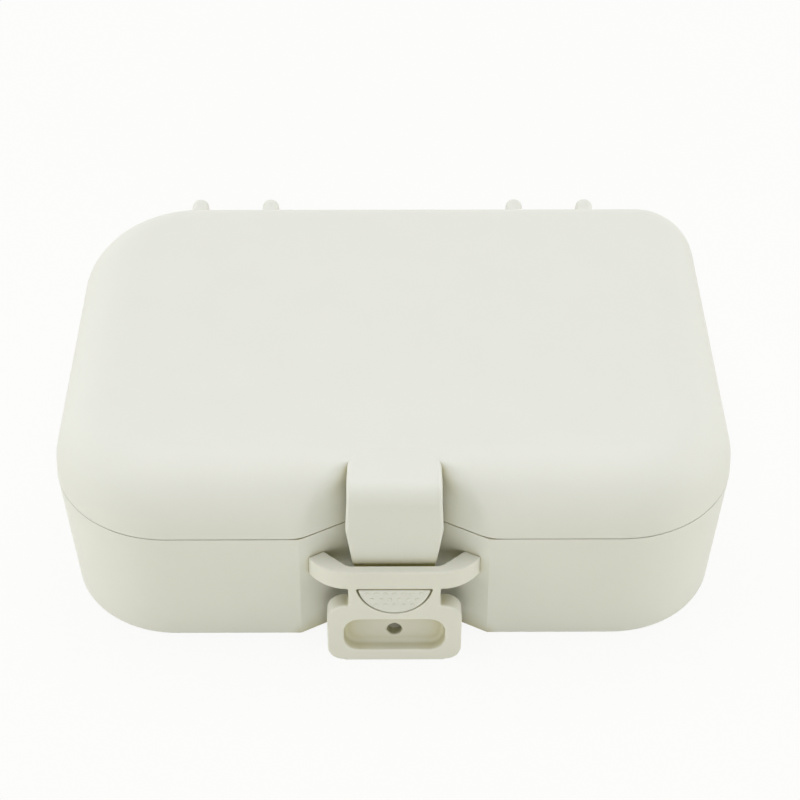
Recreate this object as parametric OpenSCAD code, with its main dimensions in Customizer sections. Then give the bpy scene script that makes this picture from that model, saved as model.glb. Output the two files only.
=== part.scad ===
// Denture case: a drafted two-part box with two rear pin hinges and a front push latch.
// X runs to the right, Y to the back, Z up. The origin is the middle of the underside.

/* [Box] */
// Half width of the box at the seam
half_w = 46; // [40:0.5:60]
// Half depth of the box at the seam
half_d = 32.9; // [30:0.1:45]
// Height of the seam above the underside
seam_z = 19.84; // [16:0.01:26]
// Height of the lid's top above the seam
lid_h = 9.5; // [8:0.1:14]
// Wall and floor thickness
wall = 2.2; // [1.8:0.1:3]
// Plan radius of the two front corners
front_r = 16.1; // [10:0.1:20]
// Plan radius of the rear left corner
rear_left_r = 16.6; // [10:0.1:20]
// Plan radius of the rear right corner
rear_right_r = 9; // [9:0.1:20]
// Height of the lid's wall below its rounded top edge
lid_foot = 0.9; // [0.5:0.1:4]
// Rounding of the tray's bottom edge
foot_round = 0.65; // [0.3:0.05:1.5]
// Rounding inside the tray's floor
floor_round = 4; // [1:0.5:6]
// Draft of the tray's walls in degrees
tray_draft = 3.1; // [1:0.1:5]
// Draft of the lid's walls in degrees
lid_draft = 5.3; // [1:0.1:8]

/* [Seam] */
// Gap between the two rims
seam_gap = 0.24; // [0.1:0.02:0.6]
// Height of the locating lip above the tray's rim
lip_h = 1.6; // [1:0.1:2.5]
// Thickness of the locating lip
lip_t = 0.85; // [0.6:0.05:1.2]
// Clearance between the lip and the lid
lip_fit = 0.25; // [0.15:0.05:0.4]

/* [Latch recess] */
// Half width of the recess at its mouth
recess_mouth = 12.5; // [11.5:0.1:16]
// Half width of the recess at its back wall
recess_back = 5.3; // [5:0.1:8]
// Depth of the recess
recess_deep = 3.9; // [3.5:0.1:5]
// Rounding of the lid's corners at the recess
recess_soft = 5; // [1:0.5:6]
// Backward lean of the lid's part of the recess in degrees
recess_lean = 6; // [0:0.5:8]

/* [Keeper] */
// Underside height of the band
band_z = 12.5; // [12:0.1:15]
// Height of the band
band_h = 3.2; // [1.5:0.1:4]
// How far the band stands in front of the tray at the seam
band_out = 2.1; // [1.5:0.1:5]
// Thickness of the band at its middle
band_t = 1.3; // [1.1:0.1:2.4]
// Half length of the band's straight middle
band_flat = 6; // [4:0.1:7]
// Half length of the straight middle of the band's inner face
band_in_flat = 5.65; // [4:0.05:6.5]
// Angle at which the band's inner face runs back to the recess walls in degrees
band_in_turn = 40.5; // [30:0.5:60]
// Radius of the band's outer bends
band_r = 6.5; // [5:0.1:9]
// Radius of the band's inner bends
band_in_r = 1.5; // [1:0.1:3]
// Half width of the neck
neck_half = 6.15; // [5.8:0.05:8]
// Radius of the half-round window in the neck
window_r = 5.2; // [4:0.05:5.4]
// Height of the window's centre above the band's underside
window_rise = 0.95; // [0:0.05:1.5]
// Half width of the tab
tab_half = 9.05; // [8:0.05:12]
// Height of the tab
tab_h = 9.65; // [9.2:0.05:11]
// Rounding of the tab's shoulders
tab_r = 2.6; // [1:0.1:4]
// Rounding of the tab's lower corners
tab_foot_r = 2.2; // [0.5:0.1:4]
// Lean of the tab's front face in degrees, which brings its foot forward
tab_lean = 6.4; // [0:0.1:8]
// Half width of the oblong hollow in the tab
slot_half = 6.8; // [4:0.1:7.3]
// Height of the oblong hollow
slot_h = 5.4; // [4:0.1:7]
// Height of the hollow's lower edge
slot_z = 1.75; // [1:0.05:2.5]
// Depth of the hollow
slot_deep = 1.7; // [0.8:0.1:2]
// Rounding of the hollow's corners
slot_r = 2.1; // [1:0.1:3]
// Diameter of the cord hole
cord_d = 2.05; // [1.5:0.05:3]
// Height of the cord hole
cord_z = 3.8; // [3:0.1:6]
// Thickness of the tab behind the hollow at its foot
tab_wall = 1.7; // [1:0.1:2]
// Diameter of the pegs that hold the keeper in the tray
peg_d = 1.4; // [1:0.1:1.5]
// Distance of each peg from the middle
peg_x = 10.2; // [10:0.05:10.9]
// How far the pegs reach into the tray wall
peg_in = 1.2; // [0.6:0.1:1.4]

/* [Tongue] */
// Thickness of the tongue
tongue_t = 1.6; // [1.2:0.1:2]
// Gap between the tongue and the band's inner face at the band's top
tongue_gap = 0.6; // [0.3:0.1:0.8]
// Backward lean of the tongue below its widest place in degrees
tongue_lean = 4.6; // [0:0.1:8]
// Half width of the tongue at its root
root_half = 6.1; // [5:0.1:7]
// Half width of the tongue at its widest place
wide_half = 6.4; // [5:0.1:7]
// Height of the tongue's widest place above the seam
wide_rise = 2.16; // [-1:0.01:3]
// Half width of the tongue at the push pad
tip_half = 4.95; // [4:0.05:5]
// Outer radius of the tongue's bend
bend_r = 2.8; // [2:0.1:3.5]
// Depth below the lid's top of the line that the tongue bends about
flex_drop = 4.34; // [3.9:0.01:6]
// Gap between the moving tongue and its root
flex_gap = 0.2; // [0.1:0.05:0.4]
// Gap between the push pad and the edge of the window
pad_gap = 0.45; // [0.3:0.05:0.8]
// Gap between the push pad and the band above it
catch_gap = 0.2; // [0.1:0.05:0.4]
// Diameter of a grip dot
dot_d = 0.7; // [0.4:0.05:1]
// Distance between grip dots
dot_pitch = 1.2; // [1:0.1:2]

/* [Hinges] */
// Distance of each hinge from the middle
hinge_x = 24.6; // [20:0.1:28]
// Depth of the hinge axis below the seam
hinge_drop = 1.34; // [0.9:0.01:3]
// Distance of the hinge axis behind the tray at the seam
hinge_back = 3.1; // [3:0.1:4]
// Radius of the hinge barrel
barrel_r = 2.4; // [2:0.1:2.6]
// Width of the hinge barrel
barrel_w = 7.9; // [5:0.1:10]
// Thickness of a hinge ear
ear_t = 2.5; // [1.5:0.1:3.5]
// Radius of a hinge ear
ear_r = 2.6; // [2.2:0.1:2.8]
// Height of the ear's upper round above the axis
ear_rise = 3.05; // [2:0.05:4]
// Side gap between an ear and the barrel
ear_gap = 0.3; // [0.2:0.05:0.6]
// Diameter of the hinge pin
pin_d = 1.8; // [1.4:0.1:2.2]
// Radial running clearance of the pin in the barrel
pin_fit = 0.05; // [0.02:0.01:0.1]
// Opening angle of the lid at its stop
open_angle = 110; // [95:1:120]

/* [Hidden] */
shell_colour = [0.88, 0.885, 0.85];
keeper_colour = [0.87, 0.865, 0.80];
pin_colour = [0.72, 0.73, 0.74];
round_fn = 48;
hole_fn = 64;
over = 1;
leaf_t = 0.01;
// Seam, rims and lip
box_h = seam_z + lid_h;
top_round = lid_h - lid_foot;
tray_top = seam_z - seam_gap / 2;
lid_bottom = seam_z + seam_gap / 2;
lid_skin = wall - lip_t - lip_fit;
corner_radii = [rear_right_r, rear_left_r, front_r, front_r];
corner_signs = [[1, 1], [-1, 1], [-1, -1], [1, -1]];
// Recess
mouth_over = 6;
recess_y = half_d - recess_deep;
recess_slope = atan2(recess_deep, recess_mouth - recess_back);
// Keeper: faces counted forward from the middle of the box
band_front = half_d + band_out;
band_inner = band_front - band_t;
band_top = band_z + band_h;
tab_front = band_front + band_z * tan(tab_lean);
tab_rear = tab_front - slot_deep - tab_wall;
window_z = band_z + window_rise;
peg_z = band_z + band_h / 2;
// Tongue and push pad
flex_z = box_h - flex_drop;
wide_z = seam_z + wide_rise;
tongue_front = band_inner - tongue_gap + (wide_z - band_top) * tan(tongue_lean);
tongue_rear = tongue_front - tongue_t;
root_over = 0.15;
shoulder_half = tip_half + 0.65;
shoulder_z = band_top - 0.5;
pad_proud = 0.1;
pad_step = 0.4;
pad_r = window_r - pad_gap;
pad_top = band_z - catch_gap;
tip_front = tongue_front - (wide_z - pad_top) * tan(tongue_lean);
tip_rear = tip_front - tongue_t;
pad_rear = tip_rear + pad_step;
flex_y = tongue_front - tongue_t / 2;
flex_r = tongue_t / 2;
dot_rows = 3;
dot_cols = 3;
dot_h = 0.2;
dot_first = 0.6;
row_pitch = 0.8 * dot_pitch;
// Hinges
hinge_y = half_d + hinge_back;
hinge_z = seam_z - hinge_drop;
web_drop = 0.65;
web_angle = 42;
bracket_h = 7.7;
ear_x = barrel_w / 2 + ear_gap;
ear_foot = 0.4;
heel_r = 0.9;
heel_gap = 0.08;
heel_reach = hinge_back - heel_gap;
pin_len = 2 * (ear_x + ear_t);

// ---- Shared shapes ----

// One corner of a closed end: a disc whose outer edge is rounded on its upper or lower side
module ring_corner(outer, edge, up) {
    major = max(outer - edge, 0);
    rotate_extrude($fn = round_fn)
        intersection() {
            translate([major, 0]) circle(edge, $fn = round_fn);
            translate([0, min(up * edge, 0)]) square([major + edge, edge]);
        }
}

// A tub with a flat closed end at end_z whose edge is rounded, and an open end at rim_z.
// Walls lie inset from the seam outline at the rim and lean in by lean degrees.
module tub(inset, rim_z, end_z, edge, lean) {
    up = sign(end_z - rim_z);
    edge_z = end_z - up * edge;
    lean_in = abs(edge_z - seam_z) * tan(lean);
    rim_in = inset + abs(rim_z - seam_z) * tan(lean) * sign(up * (rim_z - seam_z));
    hull() for (i = [0:3]) {
        r = corner_radii[i];
        s = corner_signs[i];
        edge_outer = max(r - inset - lean_in, edge);
        rim_outer = max(r - rim_in, edge);
        translate([s.x * (half_w - inset - lean_in - edge_outer),
                s.y * (half_d - inset - lean_in - edge_outer), edge_z])
            ring_corner(edge_outer, edge, up);
        translate([s.x * (half_w - rim_in - rim_outer), s.y * (half_d - rim_in - rim_outer), rim_z])
            cylinder(r = rim_outer, h = leaf_t, $fn = round_fn);
    }
}

// Plan of the box at the seam, without the recess
module seam_plan() {
    hull() for (i = [0:3]) {
        r = corner_radii[i];
        s = corner_signs[i];
        translate([s.x * (half_w - r), s.y * (half_d - r)]) circle(r, $fn = 2 * round_fn);
    }
}

// Plan of the recess, whose walls stand back by grow
module recess_plan(grow) {
    side = grow * tan(recess_slope / 2);
    spread = mouth_over / tan(recess_slope);
    mouth = recess_mouth + grow / sin(recess_slope);
    polygon([
        [-mouth - spread, -half_d - mouth_over],
        [-recess_back - side, -recess_y + grow],
        [recess_back + side, -recess_y + grow],
        [mouth + spread, -half_d - mouth_over],
    ]);
}

// Recess plan for the lid, with its mouth corners rounded
module soft_recess_plan(grow) {
    difference() {
        offset(r = -recess_soft, $fn = 2 * round_fn)
            offset(delta = recess_soft)
                union() {
                    recess_plan(grow);
                    translate([-half_w, -half_d - 2 * recess_deep])
                        square([2 * half_w, 2 * recess_deep]);
                }
        translate([-half_w, -half_d - 3 * recess_deep])
            square([2 * half_w, recess_deep]);
    }
}

// Space of the recess in the tray, which leans with the tray's front wall
module tray_recess(grow) {
    translate([0, -half_d, seam_z])
        rotate([tray_draft, 0, 0])
            translate([0, half_d, -seam_z - over])
                linear_extrude(seam_z + 4 * over)
                    recess_plan(grow);
}

// Space of the recess in the lid, which leans back towards the top
module lid_recess(grow) {
    translate([0, -half_d, seam_z])
        rotate([-recess_lean, 0, 0])
            translate([0, half_d, -2 * over])
                linear_extrude(box_h)
                    soft_recess_plan(grow);
}

// A plan in X and Z turned upright, reaching from y1 to y2
module upright(y1, y2) {
    translate([0, y2, 0])
        rotate([90, 0, 0])
            linear_extrude(y2 - y1)
                children();
}

// A profile in Y and Z turned upright, from x1 to x2
module sideways(x1, x2) {
    translate([x1, 0, 0])
        rotate([90, 0, 90])
            linear_extrude(x2 - x1)
                children();
}

module rounded_rect(half, low, high, r, low_r) {
    hull() {
        for (side = [-1, 1]) {
            translate([side * (half - r), high - r]) circle(r, $fn = round_fn);
            translate([side * (half - low_r), low + low_r]) circle(low_r, $fn = round_fn);
        }
    }
}

// Bore or pin along the hinge axis
module hinge_rod(d, length, x) {
    translate([x - length / 2, hinge_y, hinge_z])
        rotate([0, 90, 0])
            cylinder(d = d, h = length, $fn = hole_fn);
}

// ---- Base tray ----

// Barrel and its bracket on the rear wall
module hinge_barrel(x) {
    web_top = seam_z - web_drop;
    bracket_z = hinge_z - bracket_h;
    difference() {
        union() {
            translate([x - barrel_w / 2, hinge_y, hinge_z])
                rotate([0, 90, 0])
                    cylinder(r = barrel_r, h = barrel_w, $fn = hole_fn);
            sideways(x - barrel_w / 2, x + barrel_w / 2)
                polygon([
                    [half_d - wall, web_top],
                    [hinge_y, web_top],
                    [hinge_y + barrel_r * cos(web_angle), hinge_z - barrel_r * sin(web_angle)],
                    [half_d - wall / 2, bracket_z],
                    [half_d - wall, bracket_z],
                ]);
        }
        hinge_rod(pin_d + 2 * pin_fit, barrel_w + 2 * over, x);
    }
}

module locating_lip() {
    outer_in = lid_skin + lip_fit;
    translate([0, 0, tray_top - wall])
        linear_extrude(wall + lip_h)
            difference() {
                offset(delta = -outer_in) seam_with_recess();
                offset(delta = -outer_in - lip_t) seam_with_recess();
            }
}

module seam_with_recess() {
    difference() {
        seam_plan();
        soft_recess_plan(0);
    }
}

module base_tray() {
    color(shell_colour)
        difference() {
            union() {
                difference() {
                    tub(0, tray_top, 0, foot_round, tray_draft);
                    difference() {
                        tub(wall, tray_top + over, wall, floor_round, tray_draft);
                        tray_recess(wall);
                    }
                }
                locating_lip();
                for (side = [-1, 1])
                    hinge_barrel(side * hinge_x);
            }
            tray_recess(0);
            for (side = [-1, 1])
                keeper_peg(side);
        }
}

// ---- Latch keeper ----

module keeper_peg(side) {
    wall_y = -half_d + (seam_z - peg_z) * tan(tray_draft)
        + (recess_mouth - peg_x) * tan(recess_slope);
    translate([side * peg_x, wall_y + peg_in, peg_z])
        rotate([90, 0, 0])
            cylinder(d = peg_d, h = peg_in + over, $fn = hole_fn);
}

// Crescent plan of the band
module band_plan() {
    run_y = band_inner - recess_y;
    run_x = run_y / tan(band_in_turn);
    difference() {
        hull() for (side = [-1, 1])
            translate([side * band_flat, -band_front + band_r]) circle(band_r, $fn = 2 * hole_fn);
        hull() for (side = [-1, 1], run = [0, 1])
            translate([side * (band_in_flat + run * run_x), -band_inner + band_in_r + run * run_y])
                circle(band_in_r, $fn = 2 * hole_fn);
    }
}

// All that lies in front of the tab's leaning face, moved forward by out
module before_tab(out) {
    translate([-half_w, -tab_front - out, 0])
        rotate([-tab_lean, 0, 0])
            translate([0, -half_d, -half_d])
                cube([2 * half_w, half_d, 3 * half_d]);
}

module tab_block() {
    difference() {
        union() {
            upright(-tab_front - over, -tab_rear)
                rounded_rect(tab_half, 0, tab_h, tab_r, tab_foot_r);
            upright(-tab_front - over, -band_inner)
                translate([-neck_half, tab_h / 2])
                    square([2 * neck_half, band_z - tab_h / 2 + band_h / 2]);
        }
        // half-round window
        translate([0, 0, window_z])
            rotate([90, 0, 0])
                cylinder(r = window_r, h = 2 * half_d, $fn = 2 * hole_fn);
    }
}

module latch_keeper() {
    color(keeper_colour)
        union() {
            intersection() {
                tray_recess(0);
                union() {
                    translate([0, 0, band_z])
                        linear_extrude(band_h)
                            band_plan();
                    difference() {
                        tab_block();
                        before_tab(0);
                        // oblong hollow and cord hole
                        translate([0, -tab_front, 0])
                            rotate([-tab_lean, 0, 0])
                                upright(-over, slot_deep)
                                    rounded_rect(slot_half, slot_z, slot_z + slot_h, slot_r, slot_r);
                        translate([0, -recess_y, cord_z])
                            rotate([90, 0, 0])
                                cylinder(d = cord_d, h = half_d, $fn = hole_fn);
                    }
                }
            }
            for (side = [-1, 1])
                keeper_peg(side);
        }
}

// ---- Lid ----

module hinge_ear(x) {
    difference() {
        sideways(x - ear_t / 2, x + ear_t / 2)
            union() {
                translate([hinge_y, hinge_z]) circle(ear_r, $fn = hole_fn);
                translate([hinge_y, hinge_z + ear_rise]) circle(ear_r, $fn = hole_fn);
                translate([hinge_y - ear_r, hinge_z]) square([2 * ear_r, ear_rise]);
                // stop, which meets the tray's rear wall when the lid is fully open
                translate([hinge_y, hinge_z])
                    rotate(180 + open_angle)
                        translate([heel_reach - heel_r, 0]) circle(heel_r, $fn = hole_fn);
                polygon([
                    [half_d - wall, lid_bottom + ear_foot],
                    [hinge_y, lid_bottom + ear_foot],
                    [hinge_y, hinge_z + ear_rise + ear_r],
                    [half_d - top_round / 2, hinge_z + ear_rise + ear_r],
                ]);
            }
        hinge_rod(pin_d, ear_t + 2 * over, x);
    }
}

// Fixed end of the tongue: the flat strap and its bend
module tongue_root() {
    difference() {
        upright_strap();
        translate([-half_w, -2 * half_d, 0])
            cube([2 * half_w, 2 * half_d, flex_z]);
        translate([-half_w, -flex_y, flex_z])
            rotate([0, 90, 0])
                cylinder(r = flex_r + flex_gap, h = 2 * half_w, $fn = hole_fn);
    }
}

// Strap seen from the side: flat, bend and the start of the upright part
module upright_strap() {
    root_y = half_d - top_round + root_over;
    intersection() {
        sideways(-wide_half, wide_half)
            difference() {
                union() {
                    translate([-tongue_front + bend_r, box_h - bend_r]) circle(bend_r, $fn = hole_fn);
                    translate([-tongue_front + bend_r, box_h - tongue_t])
                        square([tongue_front - bend_r - root_y, tongue_t]);
                    translate([-tongue_front, flex_z]) square([tongue_t, box_h - bend_r - flex_z]);
                }
                translate([-tongue_front + bend_r, box_h - bend_r])
                    circle(bend_r - tongue_t, $fn = hole_fn);
                translate([-tongue_rear, flex_z]) square([bend_r, box_h - bend_r - flex_z]);
                translate([-tongue_front + bend_r, flex_z])
                    square([bend_r, box_h - tongue_t - flex_z]);
            }
        translate([0, 0, flex_z - over])
            linear_extrude(box_h)
                polygon([
                    [-root_half, -root_y],
                    [-wide_half, -tongue_front + bend_r],
                    [-wide_half, -tongue_front - over],
                    [wide_half, -tongue_front - over],
                    [wide_half, -tongue_front + bend_r],
                    [root_half, -root_y],
                ]);
    }
}

module lid() {
    color(shell_colour)
        union() {
            difference() {
                union() {
                    tub(0, lid_bottom, box_h, top_round, lid_draft);
                    for (side = [-1, 1], end = [-1, 1])
                        hinge_ear(side * hinge_x + end * (ear_x + ear_t / 2));
                }
                difference() {
                    tub(wall, lid_bottom - over, box_h - wall, top_round - wall, lid_draft);
                    lid_recess(wall);
                }
                lid_recess(0);
                // rebate that the locating lip fills
                translate([0, 0, lid_bottom - over])
                    linear_extrude(lip_h + 2 * lip_fit + over - seam_gap)
                        offset(delta = -lid_skin) seam_with_recess();
            }
            tongue_root();
        }
}

// ---- Tongue ----

// Front view of the moving part of the tongue
module tongue_front_view() {
    polygon([
        [-wide_half, flex_z],
        [-wide_half, wide_z],
        [-shoulder_half, shoulder_z],
        [-tip_half, pad_top],
        [tip_half, pad_top],
        [shoulder_half, shoulder_z],
        [wide_half, wide_z],
        [wide_half, flex_z],
    ]);
}

// Side view of the moving part of the tongue, which leans back below its widest place
module tongue_side_view() {
    slip = over * tan(tongue_lean);
    polygon([
        [-tongue_front, flex_z + over],
        [-tongue_front, wide_z],
        [-tip_front + slip, pad_top - over],
        [-tip_rear + slip, pad_top - over],
        [-tongue_rear, wide_z],
        [-tongue_rear, flex_z + over],
    ]);
}

// Front view of the push pad
module half_disc(r) {
    difference() {
        translate([0, window_z]) circle(r, $fn = 2 * hole_fn);
        translate([-2 * r, pad_top]) square([4 * r, 4 * r]);
    }
}

module latch_tongue() {
    color(shell_colour)
        union() {
            intersection() {
                upright(-tongue_front - over, -tip_rear + over)
                    tongue_front_view();
                sideways(-wide_half - over, wide_half + over)
                    tongue_side_view();
            }
            translate([-wide_half, -flex_y, flex_z])
                rotate([0, 90, 0])
                    cylinder(r = flex_r, h = 2 * wide_half, $fn = hole_fn);
            // push pad, whose flat top is the catch
            difference() {
                upright(-tab_front - over, -pad_rear)
                    half_disc(pad_r);
                before_tab(pad_proud);
            }
            // grip dots in staggered rows
            for (row = [0:dot_rows - 1])
                for (col = [-dot_cols:dot_cols]) {
                    x = (col + (row % 2) / 2) * dot_pitch;
                    z = pad_top - dot_first - row * row_pitch;
                    face_y = -tab_front - pad_proud + z * tan(tab_lean);
                    if (norm([x, z - window_z]) < pad_r - dot_d)
                        translate([x, face_y + over / 2, z])
                            rotate([90, 0, 0])
                                cylinder(d = dot_d, h = dot_h + over / 2, $fn = hole_fn);
                }
        }
}

// ---- Hinge pins ----

module hinge_pin(side) {
    color(pin_colour)
        hinge_rod(pin_d, pin_len, side * hinge_x);
}

module hinge_pin_left() {
    hinge_pin(-1);
}

module hinge_pin_right() {
    hinge_pin(1);
}

base_tray();
latch_keeper();
lid();
latch_tongue();
hinge_pin_left();
hinge_pin_right();
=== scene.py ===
import math

import bmesh
import bpy
from mathutils import Matrix, Vector


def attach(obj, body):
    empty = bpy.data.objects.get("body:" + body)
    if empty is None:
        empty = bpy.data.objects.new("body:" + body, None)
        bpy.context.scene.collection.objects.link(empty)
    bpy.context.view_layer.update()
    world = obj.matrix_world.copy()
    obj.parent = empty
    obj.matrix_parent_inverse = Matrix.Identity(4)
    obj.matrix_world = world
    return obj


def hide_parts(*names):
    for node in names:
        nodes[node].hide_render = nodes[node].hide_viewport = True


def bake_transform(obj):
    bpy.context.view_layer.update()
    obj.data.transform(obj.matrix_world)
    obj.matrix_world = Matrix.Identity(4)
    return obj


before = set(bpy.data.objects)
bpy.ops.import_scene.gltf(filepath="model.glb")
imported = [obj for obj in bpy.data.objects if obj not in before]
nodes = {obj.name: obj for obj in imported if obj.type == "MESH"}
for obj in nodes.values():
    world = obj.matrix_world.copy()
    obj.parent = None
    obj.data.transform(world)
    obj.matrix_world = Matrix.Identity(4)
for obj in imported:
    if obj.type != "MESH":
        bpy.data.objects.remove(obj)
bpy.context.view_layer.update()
MM = 0.001

# ---------------------------------------------------------------------------
# The photographer's table: a pale sweep of card in a white room, with a soft box
# overhead and dimmer ones in front and at both sides. The camera looks down at
# the latch side from a little over two hands away.
# ---------------------------------------------------------------------------
eye = Vector((-1.015, -203.246, 196.887)) * MM
look_down = math.radians(41.84)
look_aside = math.radians(-0.56)
camera_roll = math.radians(0.244)
lens_mm = 84.35
nearest_seen = 10 * MM

camera = bpy.data.objects.new("camera", bpy.data.cameras.new("camera"))
bpy.context.scene.collection.objects.link(camera)
camera.data.lens = lens_mm
camera.data.clip_start = nearest_seen
camera.matrix_world = (
    Matrix.Translation(eye)
    @ Matrix.Rotation(look_aside, 4, "Z")
    @ Matrix.Rotation(math.pi / 2 - look_down, 4, "X")
    @ Matrix.Rotation(camera_roll, 4, "Z")
)
bpy.context.scene.camera = camera
bpy.context.scene.view_settings.view_transform = "Standard"

case_middle = Vector((0, 0, 0.015))
low_lamp = 0.5


def soft_lamp(name, place, width, watts, colour):
    """A square soft box that faces the middle of the case."""
    lamp = bpy.data.objects.new(name, bpy.data.lights.new(name, "AREA"))
    bpy.context.scene.collection.objects.link(lamp)
    lamp.data.size = width
    lamp.data.energy = watts
    lamp.data.color = colour
    lamp.location = place
    lamp.rotation_euler = (case_middle - Vector(place)).to_track_quat("-Z", "Y").to_euler()
    # a low box has no mirror image on the flat top, when that is seen from the side
    lamp.visible_glossy = place[2] > low_lamp


soft_lamp("overhead_soft_box", (0.0, 0.05, 0.8), 0.9, 3.8, (1.0, 1.0, 0.99))
soft_lamp("front_soft_box", (0.0, -0.9, 0.16), 0.5, 3.0, (1.0, 1.0, 0.95))
soft_lamp("left_soft_box", (-0.9, -0.1, 0.2), 0.5, 3.0, (1.0, 1.0, 0.98))
soft_lamp("right_soft_box", (0.9, -0.1, 0.2), 0.5, 2.5, (1.0, 1.0, 0.98))


def feed(tree, socket, value):
    """Links a socket to another one, or sets it to a number or a colour."""
    if isinstance(value, bpy.types.NodeSocket):
        tree.links.new(value, socket)
    else:
        socket.default_value = value


def maths(tree, operation, *values):
    """Works a sum on numbers and sockets."""
    node = tree.nodes.new("ShaderNodeMath")
    node.operation = operation
    for socket, value in zip(node.inputs, values):
        feed(tree, socket, value)
    return node.outputs[0]


def span(tree, value, low, high, first=0, last=1, kind="LINEAR"):
    """Carries a value that goes from low to high over to one from first to last."""
    node = tree.nodes.new("ShaderNodeMapRange")
    node.interpolation_type = kind
    names = ("Value", "From Min", "From Max", "To Min", "To Max")
    for name, setting in zip(names, (value, low, high, first, last)):
        feed(tree, node.inputs[name], setting)
    return node.outputs["Result"]


def mix_colours(tree, share, first, second, kind="MIX"):
    """Mixes two colours by a share."""
    node = tree.nodes.new("ShaderNodeMixRGB")
    node.blend_type = kind
    for name, setting in (("Fac", share), ("Color1", first), ("Color2", second)):
        feed(tree, node.inputs[name], setting)
    return node.outputs["Color"]


def noise(tree, place, scale, detail):
    """A cloudy pattern at a place, as a value about one half."""
    node = tree.nodes.new("ShaderNodeTexNoise")
    node.inputs["Detail"].default_value = detail
    feed(tree, node.inputs["Vector"], place)
    feed(tree, node.inputs["Scale"], scale)
    return node.outputs["Fac"]


def seen_white(tree, lit, share):
    """Mixes a lit surface with plain white, where the camera, a mirror or glass sees it."""
    path = tree.nodes.new("ShaderNodeLightPath").outputs
    seen = maths(tree, "MAXIMUM", path["Is Camera Ray"], path["Is Glossy Ray"])
    seen = maths(tree, "MAXIMUM", seen, path["Is Transmission Ray"])
    kind = "ShaderNodeBackground" if lit.type == "BACKGROUND" else "ShaderNodeEmission"
    white = tree.nodes.new(kind)
    white.inputs["Color"].default_value = (1, 1, 1, 1)
    white.inputs["Strength"].default_value = 1
    mix = tree.nodes.new("ShaderNodeMixShader")
    tree.links.new(maths(tree, "MULTIPLY", seen, share), mix.inputs[0])
    tree.links.new(lit.outputs[0], mix.inputs[1])
    tree.links.new(white.outputs[0], mix.inputs[2])
    return mix.outputs[0]


sky_strength = 0.73
sky_colour = (1.0, 1.0, 0.985, 1)
sky_change = 0.6

world = bpy.data.worlds.new("studio")
world.use_nodes = True
bpy.context.scene.world = world
sky = world.node_tree
sky_light = sky.nodes["Background"]
sky_light.inputs["Strength"].default_value = sky_strength
# the room is light behind the table and dim behind the camera
direction = sky.nodes.new("ShaderNodeTexCoord")
sky_xyz = sky.nodes.new("ShaderNodeSeparateXYZ")
sky.links.new(direction.outputs["Generated"], sky_xyz.inputs["Vector"])
towards_back = span(sky, sky_xyz.outputs["Y"], -sky_change, sky_change)
room_tone = mix_colours(sky, towards_back, (0, 0, 0, 1), sky_colour)
sky.links.new(room_tone, sky_light.inputs["Color"])
sky.links.new(seen_white(sky, sky_light, 1), sky.nodes["World Output"].inputs["Surface"])

card_colour = (0.82, 0.81, 0.71)
card_fibre_tone = 0.985
card_fibre_scale = 900
card_white = 0.9
card_fade = (80 * MM, 450 * MM)
card_size = 8
card_depth = 0.02 * MM
# a patch of painted shade behind the latch's tab, where the card's white is left off: its middle,
# its half sizes and its soft edge
tab_shade = Vector((0, -29)) * MM
tab_shade_half = Vector((7.5, 4)) * MM
tab_shade_edge = 0.8 * MM

card = bpy.data.materials.new("pale_card")
card.use_nodes = True
card_tree = card.node_tree
card_tree.nodes.remove(card_tree.nodes["Principled BSDF"])
card_lit = card_tree.nodes.new("ShaderNodeBsdfDiffuse")
card_place = card_tree.nodes.new("ShaderNodeTexCoord").outputs["Object"]
card_fibre = noise(card_tree, card_place, card_fibre_scale, 2)
card_dark = [channel * card_fibre_tone for channel in card_colour]
card_tone = mix_colours(card_tree, card_fibre, (*card_colour, 1), (*card_dark, 1))
card_tree.links.new(card_tone, card_lit.inputs["Color"])
# painted shade: the card's white is left off in a patch behind the latch's tab, so the card shows
# its lit tone there, which is dark in the tab's real shadow
card_xyz = card_tree.nodes.new("ShaderNodeSeparateXYZ")
card_tree.links.new(card_place, card_xyz.inputs["Vector"])
card_beside = []
for axis, middle, half in zip("XY", tab_shade, tab_shade_half):
    off = maths(card_tree, "SUBTRACT", card_xyz.outputs[axis], middle)
    off = maths(card_tree, "ABSOLUTE", off)
    card_beside.append(span(card_tree, off, half, half + tab_shade_edge))
card_outside_painted_shade = maths(card_tree, "MAXIMUM", *card_beside)
# and it goes over into the white room away from the case
card_reach = card_tree.nodes.new("ShaderNodeVectorMath")
card_reach.operation = "LENGTH"
card_tree.links.new(card_place, card_reach.inputs[0])
card_far = span(
    card_tree, card_reach.outputs["Value"], *card_fade, first=card_white, kind="SMOOTHSTEP"
)
card_bright = maths(card_tree, "MULTIPLY", card_outside_painted_shade, card_far)
card_tree.links.new(
    seen_white(card_tree, card_lit, card_bright),
    card_tree.nodes["Material Output"].inputs["Surface"],
)
bpy.ops.object.select_all(action="DESELECT")
bpy.ops.mesh.primitive_plane_add(size=card_size, location=(0, 0, -card_depth))
floor = bpy.context.object
floor.name = "floor_card"
floor.data.materials.append(card)

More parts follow.
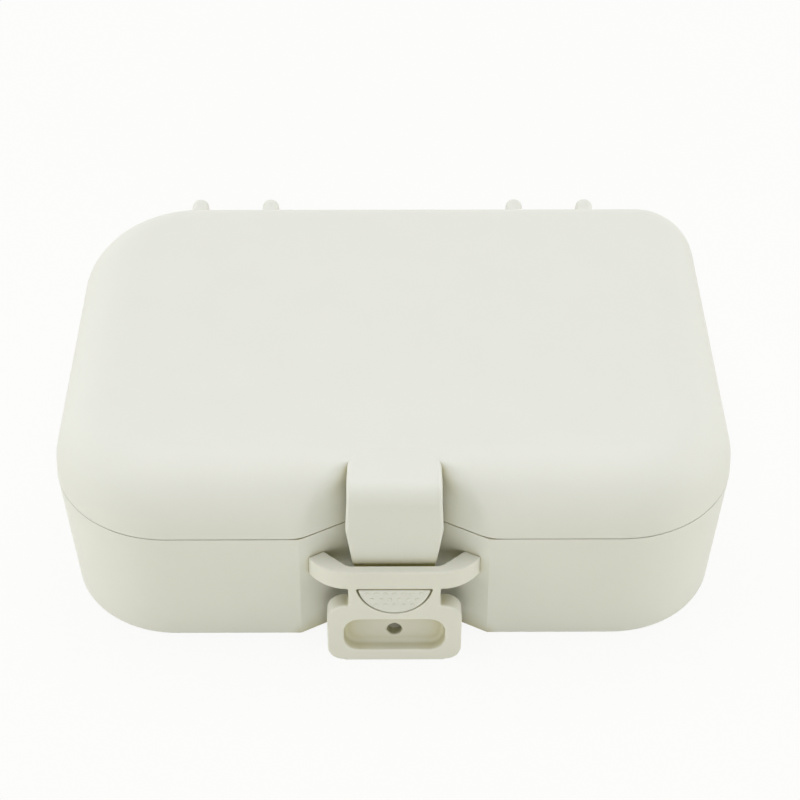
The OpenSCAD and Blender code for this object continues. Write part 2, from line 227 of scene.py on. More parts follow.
# ---------------------------------------------------------------------------
# Base tray: the lower half of the case, one off-white satin moulding with a
# drafted wall, the recess for the latch, a thin lip that the lid closes over,
# and two barrels moulded on the back for the hinge pins.
# ---------------------------------------------------------------------------
half_w = 46 * MM
half_d = 32.9 * MM
seam_z = 19.84 * MM
seam_gap = 0.1 * MM
wall = 2.2 * MM
corner_radii = {(1, 1): 9 * MM, (-1, 1): 16.6 * MM, (-1, -1): 16.1 * MM, (1, -1): 16.1 * MM}
tray_top = seam_z - seam_gap / 2
tray_lean = math.tan(math.radians(3.1))
tray_edge = 0.14 * MM
rim_band = 0.05 * MM
foot_round = 0.65 * MM
foot_ring = 0.5 * MM
floor_round = 4 * MM
floor_ring = 0.3 * MM
recess_mouth = 12.5 * MM
recess_back = 5.3 * MM
recess_deep = 3.9 * MM
recess_cuts = 4
lip_t = 0.85 * MM
lip_fit = 0.25 * MM
lip_h = 1.6 * MM
lid_skin = wall - lip_t - lip_fit
hinge = Vector((24.6, 36.0, 18.5)) * MM
barrel_r = 2.4 * MM
barrel_w = 7.9 * MM
barrel_edge = 0.3 * MM
bracket_top = seam_z - 0.65 * MM
bracket_top_root = half_d - wall + 0.3 * MM
bracket_foot = hinge.z - 8 * MM
bracket_foot_root = half_d - wall + 0.5 * MM
bracket_turn = math.radians(42)
# how close to its place a corner or an edge is looked for, and corners that are merged
near = 0.01 * MM
about = 0.1 * MM
doubled = 0.002 * MM


def choose(kind, test):
    """Selects the corners, edges or faces whose middle passes the test."""
    bpy.ops.mesh.select_all(action="DESELECT")
    bpy.ops.mesh.select_mode(type=kind)
    mesh = bmesh.from_edit_mesh(bpy.context.object.data)
    if kind == "VERT":
        for vert in mesh.verts:
            if test(vert.co):
                vert.select_set(True)
    elif kind == "EDGE":
        for edge in mesh.edges:
            if test((edge.verts[0].co + edge.verts[1].co) / 2):
                edge.select_set(True)
    else:
        for face in mesh.faces:
            if test(face.calc_center_median()):
                face.select_set(True)
    bmesh.update_edit_mesh(bpy.context.object.data)


def settle():
    """Puts the place, turn and scale of the selected object into its mesh."""
    bpy.ops.object.transform_apply(location=True, rotation=True, scale=True)
    return bpy.context.object


def plan_plate(name, inset, z):
    """A flat plate of the case's plan. Each of its corners has its own radius."""
    bpy.ops.object.select_all(action="DESELECT")
    bpy.ops.mesh.primitive_plane_add(size=2, location=(0, 0, z))
    bpy.context.object.scale = (half_w - inset, half_d - inset, 1)
    piece = settle()
    piece.name = name
    bpy.ops.object.mode_set(mode="EDIT")
    for (side, end), radius in corner_radii.items():
        choose(
            "VERT",
            lambda co: co.x * side > half_w - inset - near and co.y * end > half_d - inset - near,
        )
        bpy.ops.mesh.bevel(
            offset=radius - inset, offset_type="OFFSET", affect="VERTICES", segments=24,
            profile=0.5,
        )
    return piece


def step(inward, rise):
    """Draws the selected face in and lifts it, and leaves a ring of wall behind it."""
    bpy.ops.mesh.inset(thickness=inward, depth=0, use_boundary=True, use_even_offset=True)
    bpy.ops.transform.translate(value=(0, 0, rise))


def round_off(radius, start, rise, rings):
    """Carries the selected face round a quarter circle, from a wall to a flat."""
    for ring in range(rings):
        a = start + (math.pi / 2 - start) * ring / rings
        b = start + (math.pi / 2 - start) * (ring + 1) / rings
        step(radius * (math.cos(a) - math.cos(b)), rise * radius * (math.sin(b) - math.sin(a)))


def pick(piece, *others):
    """Selects these objects alone and makes the first one active."""
    bpy.ops.object.select_all(action="DESELECT")
    for each in (piece, *others):
        each.select_set(True)
    bpy.context.view_layer.objects.active = piece


def bar(radius, length, place, facets, turn=(0, math.pi / 2, 0)):
    """A round bar about its place. It lies along X if no other turn is given."""
    bpy.ops.object.select_all(action="DESELECT")
    bpy.ops.mesh.primitive_cylinder_add(
        vertices=facets, radius=radius, depth=length, rotation=turn, location=place
    )
    return settle()


def apply_modifier(piece, kind, **settings):
    """Adds a modifier to the piece and applies it at once."""
    pick(piece)
    modifier = piece.modifiers.new(kind.lower(), kind)
    for name, value in settings.items():
        setattr(modifier, name, value)
    bpy.ops.object.modifier_apply(modifier=modifier.name)


def bevel_sharp(piece, width, segments, angle):
    """Rounds all edges of the piece that are sharper than the angle."""
    apply_modifier(
        piece, "BEVEL", width=width, segments=segments, limit_method="ANGLE",
        angle_limit=math.radians(angle),
    )


def close_mesh(piece):
    """Merges doubled corners and points every face outwards."""
    bpy.ops.object.mode_set(mode="OBJECT")
    pick(piece)
    bpy.ops.object.mode_set(mode="EDIT")
    bpy.ops.mesh.select_mode(type="VERT")
    bpy.ops.mesh.select_all(action="SELECT")
    bpy.ops.mesh.remove_doubles(threshold=doubled)
    bpy.ops.mesh.normals_make_consistent(inside=False)
    bpy.ops.object.mode_set(mode="OBJECT")


def smooth_piece(piece, sharp_angle):
    """Shades a piece smooth up to an angle, with the large flats kept flat."""
    pick(piece)
    bpy.ops.object.shade_smooth_by_angle(angle=math.radians(sharp_angle))
    apply_modifier(piece, "WEIGHTED_NORMAL", mode="FACE_AREA", weight=90, keep_sharp=True)


def join(piece, *others):
    """Joins other meshes of the same moulding into the piece."""
    pick(piece, *others)
    bpy.ops.object.join()


def coat(piece, material):
    """Gives the whole piece one material."""
    piece.data.materials.clear()
    piece.data.materials.append(material)


tray = plan_plate("case_base_tray", (seam_z - tray_top) * tray_lean, tray_top)
choose("EDGE", lambda co: co.y < -half_d + about and abs(co.x) < near)
bpy.ops.mesh.subdivide(number_cuts=recess_cuts)
front_run = (half_w - corner_radii[(1, -1)]) * 2 / (recess_cuts + 1)
for place, x, y in (
    (-1.5, -recess_mouth, -half_d),
    (-0.5, -recess_back, -half_d + recess_deep),
    (0.5, recess_back, -half_d + recess_deep),
    (1.5, recess_mouth, -half_d),
):
    choose("VERT", lambda co: abs(co.x - place * front_run) < about and co.y < 0)
    was = [v.co.copy() for v in bmesh.from_edit_mesh(tray.data).verts if v.select][0]
    bpy.ops.transform.translate(value=(x - was.x, y - was.y, 0))

# outside: down the drafted wall, round the foot and under
choose("FACE", lambda co: True)
bpy.ops.mesh.extrude_region_move(TRANSFORM_OT_translate={"value": (0, 0, -rim_band)})
wall_drop = tray_top - rim_band - foot_round
step(wall_drop * tray_lean, -wall_drop)
round_off(foot_round, start=0, rise=-1, rings=6)
step(foot_ring, 0)

# inside: across the rim, over the lip, down the wall and round into the floor
choose("FACE", lambda co: co.z > tray_top - near)
step(lid_skin + lip_fit, 0)
step(0, lip_h)
step(lip_t, 0)
step(0, -lip_h)
inner_drop = tray_top - wall - floor_round
step(inner_drop * tray_lean, -inner_drop)
round_off(floor_round, start=0, rise=-1, rings=10)
step(floor_ring, 0)
close_mesh(tray)
bevel_sharp(tray, tray_edge, segments=3, angle=23)

for side in (-1, 1):
    barrel = bar(barrel_r, barrel_w, (side * hinge.x, hinge.y, hinge.z), facets=72)
    bpy.ops.mesh.primitive_cube_add(size=1, location=(side * hinge.x, 0, 0))
    bpy.context.object.scale = (barrel_w, 1, 1)
    bracket = settle()
    for corner in bracket.data.vertices:
        if corner.co.z > 0:
            corner.co.z = bracket_top
            corner.co.y = hinge.y if corner.co.y > 0 else bracket_top_root
        elif corner.co.y > 0:
            corner.co.y = hinge.y + barrel_r * math.cos(bracket_turn)
            corner.co.z = hinge.z - barrel_r * math.sin(bracket_turn)
        else:
            corner.co.y = bracket_foot_root
            corner.co.z = bracket_foot
    apply_modifier(bracket, "BEVEL", width=barrel_edge, segments=3)
    bevel_sharp(barrel, barrel_edge, segments=3, angle=50)
    join(tray, barrel, bracket)
smooth_piece(tray, sharp_angle=40)

cloud_scale, cloud_detail = 140, 3
flow_scale, flow_detail = 55, 1
grain_detail = 2
flow_height = 0.012 * MM
gloss_change = 0.12
# painted shade in narrow corners: how far it looks for open space, its samples, how open a place is
# where it is darkest, and the span across and ahead of the latch where neighbouring pieces count
painted_shade_width = 4 * MM
painted_shade_samples = 6
painted_shade_darkest = 0.1
latch_across = (15 * MM, 13 * MM)
latch_ahead = (-26 * MM, -28 * MM)
plastic_ior = 1.49
shell_colour = (0.785, 0.79, 0.735)


def bump(tree, height, distance, normal=None):
    """Raises a surface by a height pattern, over another bump if one is given."""
    node = tree.nodes.new("ShaderNodeBump")
    node.inputs["Strength"].default_value = 1
    feed(tree, node.inputs["Height"], height)
    feed(tree, node.inputs["Distance"], distance)
    if normal:
        tree.links.new(normal, node.inputs["Normal"])
    return node.outputs["Normal"]


def moulded_plastic_and_painted_shade_group():
    """Satin grain on slow flow marks, an uneven tone, and painted shade, a deeper tone, in narrow
    corners.
    """
    group = bpy.data.node_groups.new("moulded_plastic_and_painted_shade", "ShaderNodeTree")
    for name, kind, value in (
        ("Colour", "NodeSocketColor", (0.8, 0.8, 0.75, 1)),
        ("Tone Change", "NodeSocketFloat", 0.03),
        ("Grain Size", "NodeSocketFloat", 0.25),
        ("Grain Height", "NodeSocketFloat", 0.01),
        ("Roughness", "NodeSocketFloat", 0.45),
        ("Painted Shade Tone", "NodeSocketColor", (0.47, 0.41, 0.08, 1)),
        ("Corner Reach", "NodeSocketFloat", 0.78),
        ("Neighbours", "NodeSocketFloat", 1.0),
    ):
        socket = group.interface.new_socket(name=name, in_out="INPUT", socket_type=kind)
        socket.default_value = value
    for name, kind in (
        ("Colour", "NodeSocketColor"),
        ("Roughness", "NodeSocketFloat"),
        ("Normal", "NodeSocketVector"),
    ):
        group.interface.new_socket(name=name, in_out="OUTPUT", socket_type=kind)
    enter = group.nodes.new("NodeGroupInput").outputs
    leave = group.nodes.new("NodeGroupOutput").inputs
    place = group.nodes.new("ShaderNodeTexCoord").outputs["Object"]

    # tone: brighter and darker clouds about one
    cloud = maths(group, "SUBTRACT", noise(group, place, cloud_scale, cloud_detail), 0.5)
    amount = maths(group, "MULTIPLY_ADD", cloud, enter["Tone Change"], 1)
    tint = group.nodes.new("ShaderNodeVectorMath")
    tint.operation = "SCALE"
    group.links.new(enter["Colour"], tint.inputs[0])
    group.links.new(amount, tint.inputs["Scale"])

    # painted shade: a warmer and deeper tone in narrow corners, from how open the space round each
    # point is;
    # a neighbour counts only around the latch, so that the rims carry no painted shade when it
    # opens
    openness = []
    for own_piece_only in (True, False):
        gap = group.nodes.new("ShaderNodeAmbientOcclusion")
        gap.only_local = own_piece_only
        gap.samples = painted_shade_samples
        gap.inputs["Distance"].default_value = painted_shade_width
        openness.append(gap.outputs["AO"])
    spot = group.nodes.new("ShaderNodeSeparateXYZ")
    group.links.new(place, spot.inputs["Vector"])
    across = span(group, maths(group, "ABSOLUTE", spot.outputs["X"]), *latch_across)
    ahead = span(group, spot.outputs["Y"], *latch_ahead)
    at_latch = maths(group, "MULTIPLY", across, ahead)
    counted = maths(group, "MULTIPLY", at_latch, enter["Neighbours"])
    narrow = mix_colours(group, counted, *openness)
    outside_painted_shade = span(group, narrow, painted_shade_darkest, enter["Corner Reach"])
    shade = mix_colours(group, outside_painted_shade, enter["Painted Shade Tone"], (1, 1, 1, 1))
    tone = mix_colours(group, 1, tint.outputs[0], shade, "MULTIPLY")
    group.links.new(tone, leave["Colour"])

    # gloss: a little uneven where the mould was
    gloss = maths(group, "MULTIPLY_ADD", cloud, gloss_change, enter["Roughness"])
    group.links.new(gloss, leave["Roughness"])

    # grain over slow waves
    waves = bump(group, noise(group, place, flow_scale, flow_detail), flow_height)
    grain_scale = maths(group, "DIVIDE", 1 / MM, enter["Grain Size"])
    grain = noise(group, place, grain_scale, grain_detail)
    grain_height = maths(group, "MULTIPLY", enter["Grain Height"], MM)
    group.links.new(bump(group, grain, grain_height, waves), leave["Normal"])
    return group


plastic_and_painted_shade = moulded_plastic_and_painted_shade_group()


def plastic(name, colour, **finish):
    """A satin moulded plastic of one colour, with painted shade in narrow corners. The finish names
    inputs of the surface.
    """
    material = bpy.data.materials.new(name)
    material.use_nodes = True
    tree = material.node_tree
    shader = tree.nodes["Principled BSDF"]
    shader.inputs["IOR"].default_value = plastic_ior
    surface = tree.nodes.new("ShaderNodeGroup")
    surface.node_tree = plastic_and_painted_shade
    surface.inputs["Colour"].default_value = (*colour, 1)
    for setting, value in finish.items():
        surface.inputs[setting.replace("_", " ").title()].default_value = value
    for made, taken in (("Colour", "Base Color"), ("Roughness", "Roughness"), ("Normal", "Normal")):
        tree.links.new(surface.outputs[made], shader.inputs[taken])
    return material


# the shell's painted shade in corners also counts neighbouring pieces around the latch
shell_plastic = plastic(
    "off_white_shell_plastic", shell_colour, roughness=0.5, grain_size=0.3, grain_height=0.006,
    corner_reach=0.78, neighbours=1.0,
)
coat(tray, shell_plastic)
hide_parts("base_tray")
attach(tray, "base")

# ---------------------------------------------------------------------------
# Latch keeper: a second, slightly warmer moulding pegged into the recess. Its
# crescent band bridges the recess, a half-round window lies below it, and its
# tab has an oblong hollow with a small hole for a cord. Sizes in millimetres.
# ---------------------------------------------------------------------------
band_low = 12.5
band_top = 15.7
band_front = 35.0
band_inner = 33.7
band_half = 12.5
band_round = 6.5
band_edge = 0.3
band_inner_half = 6.2
band_inner_round = 0.6
band_inner_run = 1 / math.tan(math.radians(40.5))
neck_half = 6.15
window_r = 5.2
window_z = 13.45
tab_half = 9.05
tab_h = 9.65
tab_round = 2.6
tab_foot_round = 2.2
tab_front = 36.4
tab_rear = 33.0
tab_lean = math.tan(math.radians(6.4))
slot_half = 6.8
slot_low = 1.75
slot_high = 7.15
slot_round = 2.1
slot_deep = 1.7
slot_fillet = 0.5
cord_r = 1.0
cord_z = 3.8
neck_low = tab_h - 4
neck_top = band_low + 1.5
keeper_colour = (0.8, 0.795, 0.72)
keeper_voxel = 0.14
# how far a cutting tool, or what it cuts off, goes past the other
beyond = 10.0
past = 1.0
spare = 2.0
far_front = 60.0
# how near to its place an edge is looked for
reach = 0.1


def block(low, high):
    """A cube stretched between two corners."""
    low, high = Vector(low) * MM, Vector(high) * MM
    bpy.ops.object.select_all(action="DESELECT")
    bpy.ops.mesh.primitive_cube_add(size=1, location=(low + high) / 2)
    bpy.context.object.scale = high - low
    return settle()


def round_edges(piece, test, radius, segments):
    """Rounds the edges whose middle, in millimetres, passes the test."""
    bpy.ops.object.mode_set(mode="EDIT")
    choose("EDGE", lambda co: test(co / MM))
    bpy.ops.mesh.bevel(
        offset=radius * MM, offset_type="OFFSET", affect="EDGES", segments=segments, profile=0.5
    )
    bpy.ops.object.mode_set(mode="OBJECT")


def boolean(piece, tool, operation):
    """Cuts, fuses or clips the piece with a tool, which is then thrown away."""
    apply_modifier(piece, "BOOLEAN", operation=operation, object=tool, solver="EXACT")
    bpy.data.objects.remove(tool)


def rod(radius, low_y, high_y, z):
    """A round bar along Y above the middle of the case."""
    place = (0, (low_y + high_y) / 2 * MM, z * MM)
    return bar(radius * MM, (high_y - low_y) * MM, place, facets=96, turn=(math.pi / 2, 0, 0))


def recess_stamp():
    """The recess of the tray as a solid wedge, which leans back with the tray's wall."""
    front, back = half_d / MM + beyond, (half_d - recess_deep) / MM
    stamp = block((-past, -front, -past), (past, -back, band_top + past))
    run = recess_deep / (recess_mouth - recess_back)
    for corner in stamp.data.vertices:
        depth = -back * MM - corner.co.y
        corner.co.x = math.copysign(recess_back + depth / run, corner.co.x)
        corner.co.y += (seam_z - corner.co.z) * tray_lean
    return stamp


def before_tab():
    """All that lies in front of the tab's leaning face."""
    space = block((-beyond, -far_front, -beyond), (beyond, -tab_front, 2 * beyond))
    for corner in space.data.vertices:
        if corner.co.y > -tab_front * MM - near:
            corner.co.y += corner.co.z * tab_lean
    return space


band = block((-band_half, -band_front, band_low), (band_half, -band_inner + beyond, band_top))
round_edges(
    band, lambda co: abs(co.x) > band_half - reach and co.y < -band_front + reach,
    band_round, segments=32,
)
hole = block(
    (-past, -band_inner, band_low - past), (past, -band_inner + 2 * beyond, band_top + past)
)
for corner in hole.data.vertices:
    behind = band_inner * MM + corner.co.y
    corner.co.x = math.copysign(band_inner_half * MM + behind * band_inner_run, corner.co.x)
round_edges(
    hole,
    lambda co: abs(abs(co.x) - band_inner_half) < reach and co.y < -band_inner + reach,
    band_inner_round, segments=12,
)
boolean(band, hole, "DIFFERENCE")
boolean(band, recess_stamp(), "INTERSECT")
bevel_sharp(band, band_edge * MM, segments=5, angle=60)

keeper = block((-tab_half, -tab_front - spare, 0), (tab_half, -tab_rear, tab_h))
keeper.name = "case_latch_keeper"
round_edges(
    keeper, lambda co: abs(co.x) > tab_half - reach and co.z > tab_h - reach,
    tab_round, segments=16,
)
round_edges(
    keeper, lambda co: abs(co.x) > tab_half - reach and co.z < reach,
    tab_foot_round, segments=12,
)
neck = block((-neck_half, -tab_front - spare, neck_low), (neck_half, -band_inner, neck_top))
boolean(keeper, neck, "UNION")
boolean(keeper, before_tab(), "DIFFERENCE")
boolean(keeper, rod(window_r, -tab_front - beyond, -tab_rear + beyond, window_z), "DIFFERENCE")
slot = block(
    (-slot_half, -tab_front - spare, slot_low), (slot_half, -tab_front + slot_deep, slot_high)
)
for corner in slot.data.vertices:
    corner.co.y += corner.co.z * tab_lean
slot_middle = (slot_low + slot_high) / 2
slot_half_h = (slot_high - slot_low) / 2
round_edges(
    slot,
    lambda co: abs(co.x) > slot_half - reach and abs(co.z - slot_middle) > slot_half_h - reach,
    slot_round, segments=16,
)
round_edges(
    slot, lambda co: co.y > -tab_front + slot_deep + co.z * tab_lean - reach,
    slot_fillet, segments=6,
)
boolean(keeper, slot, "DIFFERENCE")
boolean(keeper, rod(cord_r, -tab_front, -tab_rear + past, cord_z), "DIFFERENCE")
close_mesh(keeper)
join(keeper, band)
apply_modifier(keeper, "REMESH", mode="VOXEL", voxel_size=keeper_voxel * MM)
apply_modifier(keeper, "SMOOTH", factor=0.5, iterations=4)
smooth_piece(keeper, sharp_angle=60)
# the keeper's painted shade in corners counts only its own shape
coat(keeper, plastic(
    "warm_latch_plastic", keeper_colour, roughness=0.46, grain_size=0.25, grain_height=0.005,
    corner_reach=0.98, neighbours=0.0,
))
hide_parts("latch_keeper")
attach(keeper, "base")

# ---------------------------------------------------------------------------
# Lid: the upper half of the case, moulded in the same off-white plastic, with a
# deep rounding all round its top, a soft notch at the front for the latch and
# two pairs of ears at the back that carry the hinge pins.
# ---------------------------------------------------------------------------
lid_bottom = seam_z + seam_gap / 2
lid_lean = math.tan(math.radians(5.3))
box_h = 29.34 * MM
top_round = 8.6 * MM
fillet_z = box_h - top_round
crown_ring = 0.15 * MM
lid_edge = 0.12 * MM
notch_columns = 130
notch_soft = 0.7 * MM
notch_floor_soft = 0.15 * MM
notch_edge = 1.6 * MM
notch_edge_share = 0.9
least_blend = 0.001 * MM
notch_lean = math.tan(math.radians(6))
notch_zone_half = recess_mouth + 3 * MM
notch_zone_rear = -18 * MM
# the strap's root: the notch's top edge is raised under it, up to just below the top
root_half = 6.1 * MM
root_overlap = 0.3 * MM
root_fade = 3.6 * MM
root_front = -29.4 * MM
root_rear = -27.6 * MM
root_top = box_h - 0.04 * MM
ear_t = 2.5 * MM
ear_r = 2.6 * MM
ear_rise = 3.05 * MM
ear_dome = 1.15 * MM
ear_gap = 0.3 * MM
ear_x = barrel_w / 2 + ear_gap + ear_t / 2
web_start = 0.05 * MM
web_foot = 20.36 * MM
heel_r = 0.9 * MM
heel_reach = 3.02 * MM
heel_inset = 0.3 * MM
open_angle = math.radians(110)
pin_r = 0.9 * MM
pin_fit = 0.04 * MM


def softer_max(a, b, blend):
    """The larger of two values, with a rounded change between them."""
    share = min(max(0.5 + 0.5 * (a - b) / max(blend, least_blend), 0), 1)
    return b + (a - b) * share + blend * share * (1 - share)


def ease(value, low, high):
    """Goes smoothly from 0 to 1 as the value goes from low to high."""
    share = min(max((value - low) / (high - low), 0), 1)
    return share * share * (3 - 2 * share)


def notch_depth(x):
    """Depth of the front notch at x, with its two corners rounded."""
    slope = recess_deep / (recess_mouth - recess_back)
    depth = softer_max((recess_mouth - abs(x)) * slope, 0, notch_soft)
    return -softer_max(-depth, -recess_deep, notch_floor_soft)


def press_notch(piece, back):
    """Presses the notch into the front of a shell whose wall stands back by back."""
    for corner in piece.data.vertices:
        co = corner.co
        if co.y > notch_zone_rear or abs(co.x) > notch_zone_half:
            continue
        depth = notch_depth(co.x)
        if depth < near:
            continue
        thick = back if co.y > -half_d + wall - near else min(back, lid_skin)
        floor_y = -half_d + depth + thick + (co.z - seam_z) * notch_lean * depth / recess_deep
        on_top = ease(co.y, root_front, root_rear)
        aside = ease(abs(co.x), root_half - root_overlap, root_half + root_fade)
        co.y = softer_max(co.y, floor_y, min(notch_edge, notch_edge_share * depth))
        if back == 0 and co.z < root_top:
            co.z += (root_top - co.z) * on_top * (1 - aside)


def lid_shell(name, inset):
    """The rim of a shell of the lid, with its front edge cut into fine columns."""
    shell = plan_plate(name, inset, lid_bottom)
    choose("EDGE", lambda co: co.y < -half_d + inset + about and abs(co.x) < near)
    bpy.ops.mesh.subdivide(number_cuts=notch_columns)
    choose("FACE", lambda co: True)
    return shell


lid = lid_shell("case_lid", (lid_bottom - seam_z) * lid_lean)
foot_rise = fillet_z - lid_bottom
step(foot_rise * lid_lean, foot_rise)
round_off(top_round, start=0, rise=1, rings=30)
step(crown_ring, 0)
bpy.ops.object.mode_set(mode="OBJECT")
press_notch(lid, 0)

lining = lid_shell("lid_lining", lid_skin)
rebate_rise = lip_h + 2 * lip_fit - seam_gap
inner_round = top_round - wall
inner_start = math.asin((lid_bottom + rebate_rise - fillet_z) / inner_round)
step(0, rebate_rise)
step(wall - lid_skin + inner_round * (1 - math.cos(inner_start)), 0)
round_off(inner_round, start=inner_start, rise=1, rings=16)
step(crown_ring, 0)
bpy.ops.object.mode_set(mode="OBJECT")
press_notch(lining, wall)

# the two rims are joined while they lie well apart, where their order is plain
apart = 20 * MM
lining.location.z = -apart
pick(lining)
settle()
join(lid, lining)
bpy.ops.object.mode_set(mode="EDIT")
choose("EDGE", lambda co: min(abs(co.z - lid_bottom), abs(co.z - lid_bottom + apart)) < near)
bpy.ops.mesh.bridge_edge_loops()
choose("VERT", lambda co: co.z < lid_bottom - apart / 2)
bpy.ops.transform.translate(value=(0, 0, apart))
close_mesh(lid)
bevel_sharp(lid, lid_edge, segments=3, angle=50)


def hinge_ear(x):
    """One ear: a flat tongue with a domed edge, the web to the lid, its stop and its pin hole."""
    ear = bar(ear_r, ear_t, (x, hinge.y, hinge.z), facets=72)
    bpy.ops.object.mode_set(mode="EDIT")
    choose("VERT", lambda co: co.z > hinge.z + near)
    bpy.ops.transform.translate(value=(0, 0, ear_rise))
    choose("EDGE", lambda co: abs(co.x - x) > ear_t / 2 - near)
    bpy.ops.mesh.bevel(
        offset=ear_dome, offset_type="OFFSET", affect="EDGES", segments=8, profile=0.5
    )
    bpy.ops.object.mode_set(mode="OBJECT")
    low_x, high_x = (x - ear_t / 2) / MM, (x + ear_t / 2) / MM
    web_root = (half_d - lid_skin + web_start) / MM
    web_top = (hinge.z + ear_rise + ear_r) / MM
    web = block((low_x, web_root, web_foot / MM), (high_x, hinge.y / MM, web_top))
    tight = near / MM
    round_edges(
        web,
        lambda co: not low_x + tight < co.x < high_x - tight and co.z > web_top - tight,
        ear_dome / MM, segments=8,
    )
    boolean(ear, web, "UNION")
    heel_turn = math.pi + open_angle
    heel_y = hinge.y + (heel_reach - heel_r) * math.cos(heel_turn)
    heel_z = hinge.z + (heel_reach - heel_r) * math.sin(heel_turn)
    heel = bar(heel_r, ear_t - heel_inset, (x, heel_y, heel_z), facets=32)
    boolean(ear, heel, "UNION")
    pin_hole = bar(pin_r + pin_fit, 2 * ear_t, (x, hinge.y, hinge.z), facets=48)
    boolean(ear, pin_hole, "DIFFERENCE")
    return ear


for side in (-1, 1):
    for end in (-1, 1):
        join(lid, hinge_ear(side * hinge.x + end * ear_x))
smooth_piece(lid, sharp_angle=40)
coat(lid, shell_plastic)
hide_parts("lid")
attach(lid, "lid")

# ---------------------------------------------------------------------------
# Latch tongue: a springy strap that grows out of the lid's top, bends down in
# front of the recess and ends in a half-round push pad with grip dots. It is one
# moulding with the lid.
# ---------------------------------------------------------------------------
strap_t = 1.6
strap_front = 33.6
strap_first_half = 4.6
strap_overlap = 0.3
bend_r = 2.8
strap_edge = 0.5
strap_kink = 22.0
strap_lean = math.tan(math.radians(4.6))
# how far forward or high a place of the strap is, and its half width there
strap_flat = (
    (26.2, 4.9), (26.6, 5.35), (27.1, 5.75), (27.7, 6.0), (28.4, 6.1), (29.6, 6.13), (30.8, 6.16),
)
strap_fall = (
    (25.8, 6.22), (24.6, 6.28), (23.4, 6.34), (22.4, 6.39), (22.0, 6.4), (21.5, 6.35), (20.4, 6.21),
    (18.2, 5.95), (16.0, 5.66), (15.2, 5.55), (14.0, 5.3), (12.3, 4.95),
)
pad_r = 4.95
pad_z = window_z - 0.15
pad_top = 12.3
pad_rear = 31.63
pad_edge = 0.25
dot_r = 0.3
dot_flat = 0.3
dot_pitch = 1.2
dot_row_gap = 0.8 * dot_pitch
dot_margin = 0.6


def draw_out(forward, up, half):
    """Draws the end of the strap out by one length and sets its new half width."""
    bpy.ops.mesh.extrude_region_move(
        TRANSFORM_OT_translate={"value": (0, -forward * MM, up * MM)}
    )
    for corner in bmesh.from_edit_mesh(bpy.context.object.data).verts:
        if corner.select:
            corner.co.x = math.copysign(half * MM, corner.co.x)
    bmesh.update_edit_mesh(bpy.context.object.data)


# rounded corners where the strap leaves the top, then flat to the bend
top_z = box_h / MM
strap_root = strap_flat[0][0] - strap_overlap
strap = block(
    (-strap_first_half, -strap_root, top_z - strap_t),
    (strap_first_half, -strap_root + 2 * strap_overlap, top_z),
)
strap.name = "case_latch_tongue"
bpy.ops.object.mode_set(mode="EDIT")
choose("FACE", lambda co: co.y < (-strap_root + reach) * MM)
last = strap_root
for y, half in strap_flat:
    draw_out(y - last, 0, half)
    last = y
bpy.ops.mesh.spin(
    steps=14, angle=-math.pi / 2, center=(0, (bend_r - strap_front) * MM, box_h - bend_r * MM),
    axis=(1, 0, 0),
)
last = top_z - bend_r
for z, half in strap_fall:
    back = max(strap_kink - z, 0) - max(strap_kink - last, 0)
    draw_out(-back * strap_lean, z - last, half)
    last = z
close_mesh(strap)
bevel_sharp(strap, strap_edge * MM, segments=5, angle=60)

pad = rod(pad_r, -tab_front - past, -pad_rear, pad_z)
bpy.ops.object.mode_set(mode="EDIT")
bpy.ops.mesh.select_all(action="SELECT")
bpy.ops.mesh.bisect(
    plane_co=(0, 0, pad_top * MM), plane_no=(0, 0, 1), clear_outer=True, use_fill=True
)
bpy.ops.object.mode_set(mode="OBJECT")
boolean(pad, before_tab(), "DIFFERENCE")
bevel_sharp(pad, pad_edge * MM, segments=4, angle=60)

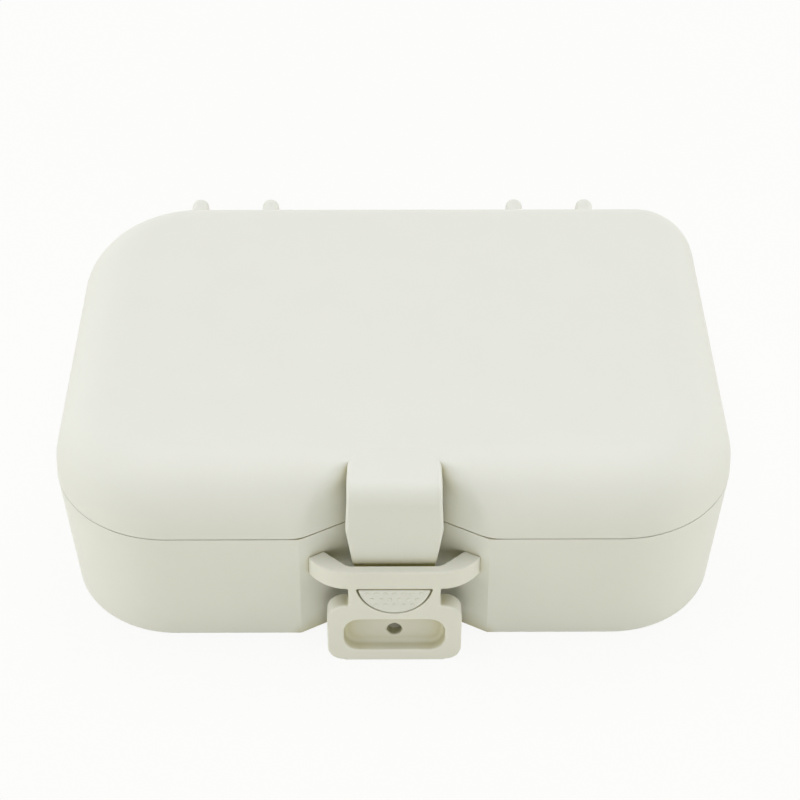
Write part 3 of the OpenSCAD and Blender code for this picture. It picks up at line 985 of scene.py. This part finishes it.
bpy.ops.object.select_all(action="DESELECT")
bpy.ops.mesh.primitive_uv_sphere_add(segments=20, ring_count=10, radius=dot_r * MM)
bpy.context.object.scale = (1, dot_flat, 1)
dot = settle()
dots = []
for row in range(3):
    for column in range(-3, 4):
        x = (column + (row % 2) / 2) * dot_pitch
        z = pad_top - dot_margin - row * dot_row_gap
        if math.hypot(x, z - pad_z) < pad_r - 2 * dot_r:
            grip = dot.copy()
            grip.data = dot.data.copy()
            grip.data.transform(Matrix.Translation(Vector((x, z * tab_lean - tab_front, z)) * MM))
            bpy.context.scene.collection.objects.link(grip)
            dots.append(grip)
bpy.data.objects.remove(dot)
join(strap, pad, *dots)
smooth_piece(strap, sharp_angle=45)
coat(strap, shell_plastic)
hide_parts("latch_tongue")
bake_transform(strap)

# ---------------------------------------------------------------------------
# Hinge pins: two short bright steel pins, pressed into the ears on each side of
# a barrel. Their drawn surface has fine lines along it.
# ---------------------------------------------------------------------------
pin_dull = (0.55, 0.56, 0.57, 1)
pin_bright = (0.72, 0.73, 0.74, 1)
pin_roughness = (0.25, 0.42)
pin_lines_per_m = (300, 9000, 9000)
pin_line_height = 0.004 * MM

pin_steel = bpy.data.materials.new("drawn_pin_steel")
pin_steel.use_nodes = True
pin_tree = pin_steel.node_tree
pin_shader = pin_tree.nodes["Principled BSDF"]
pin_shader.inputs["Metallic"].default_value = 1
pin_place = pin_tree.nodes.new("ShaderNodeTexCoord")
pin_stretch = pin_tree.nodes.new("ShaderNodeMapping")
pin_stretch.inputs["Scale"].default_value = pin_lines_per_m
pin_tree.links.new(pin_place.outputs["Object"], pin_stretch.inputs["Vector"])
pin_lines = noise(pin_tree, pin_stretch.outputs["Vector"], scale=1, detail=2)
for socket, value in (
    ("Base Color", mix_colours(pin_tree, pin_lines, pin_dull, pin_bright)),
    ("Roughness", span(pin_tree, pin_lines, 0, 1, *pin_roughness)),
    ("Normal", bump(pin_tree, pin_lines, pin_line_height)),
):
    pin_tree.links.new(value, pin_shader.inputs[socket])
for side in ("left", "right"):
    coat(nodes["hinge_pin_" + side], pin_steel)
